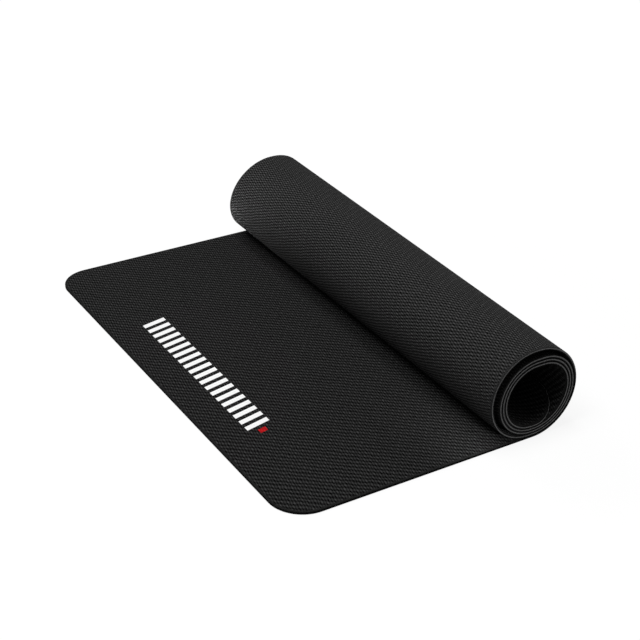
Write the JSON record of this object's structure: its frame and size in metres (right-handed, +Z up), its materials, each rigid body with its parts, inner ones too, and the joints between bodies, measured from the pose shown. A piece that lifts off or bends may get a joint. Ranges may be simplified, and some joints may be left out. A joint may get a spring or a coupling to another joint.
{
  "type": "equipment mat",
  "caption": "Thin embossed black floor mat for a treadmill, with rounded corners, its free end flat and the rest wound into a loose roll.",
  "frame": {"origin": "middle of the footprint, on the floor", "axes": "+X along the mat's length from the free edge towards the roll, +Y across its width, +Z up"},
  "size_m": [0.3634, 0.6, 0.112],
  "materials": {
    "wear_face": "embossed matt black PVC with a faint sheen on the raised pips",
    "scrim_mesh": "dark grey polyester mesh, seen only at the cut edge",
    "foam_base": "embossed matt black PVC foam, dark grey where it is cut"
  },
  "bodies": {
    "root": {"wear_ply": "wear_face", "mesh_scrim": "scrim_mesh", "foam_base": "foam_base"}
  },
  "joints": []
}
